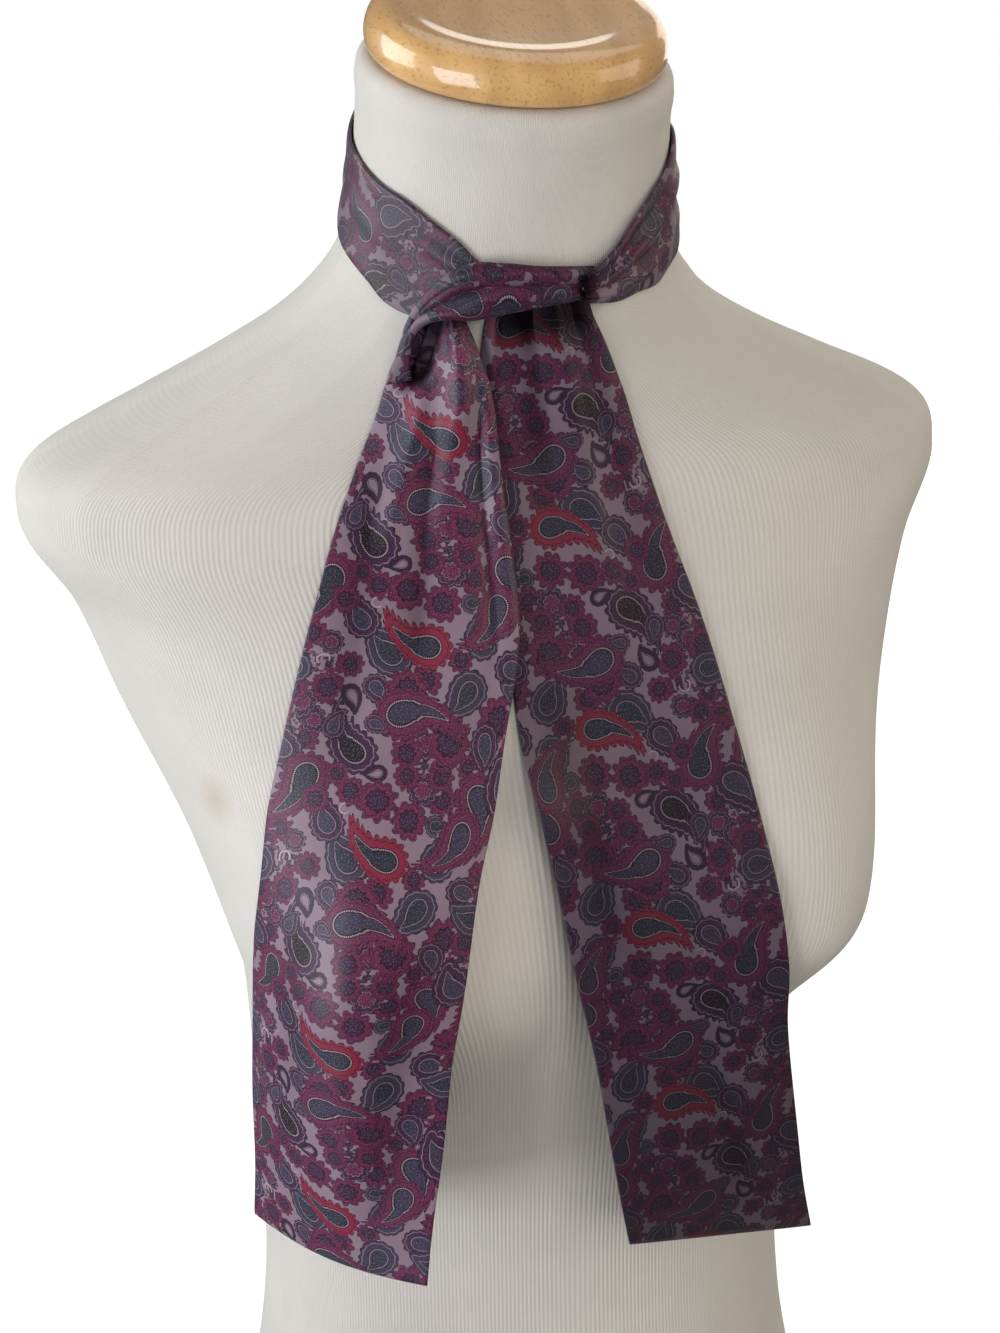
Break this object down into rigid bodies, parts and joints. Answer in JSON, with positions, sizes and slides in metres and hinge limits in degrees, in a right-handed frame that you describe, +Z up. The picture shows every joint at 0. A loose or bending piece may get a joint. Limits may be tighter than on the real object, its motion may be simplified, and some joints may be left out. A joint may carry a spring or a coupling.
{
  "type": "neck scarf on a limbless dress form",
  "caption": "Lined paisley silk neck scarf, wound once round the neck and tied in a half knot, its tails hanging down a limbless dress form.",
  "frame": {"origin": "centre of the dress form's flat base", "axes": "+Z up through the neck, the chest faces -Y, +X is on the right of a viewer in front of the chest"},
  "size_m": [0.3616, 0.2394, 0.6907],
  "materials": {
    "jersey": "matt ivory rib jersey",
    "cap_wood": "varnished pale wood",
    "band_silk": "satin printed silk",
    "wrap_silk": "satin printed silk",
    "left_tail_silk": "satin printed silk",
    "right_tail_silk": "satin printed silk"
  },
  "bodies": {
    "root": {"form_body": "jersey", "form_neck_cap": "cap_wood", "scarf_neck_band": "band_silk", "scarf_front_wrap": "wrap_silk", "scarf_left_tail": "left_tail_silk", "scarf_right_tail": "right_tail_silk"}
  },
  "joints": []
}
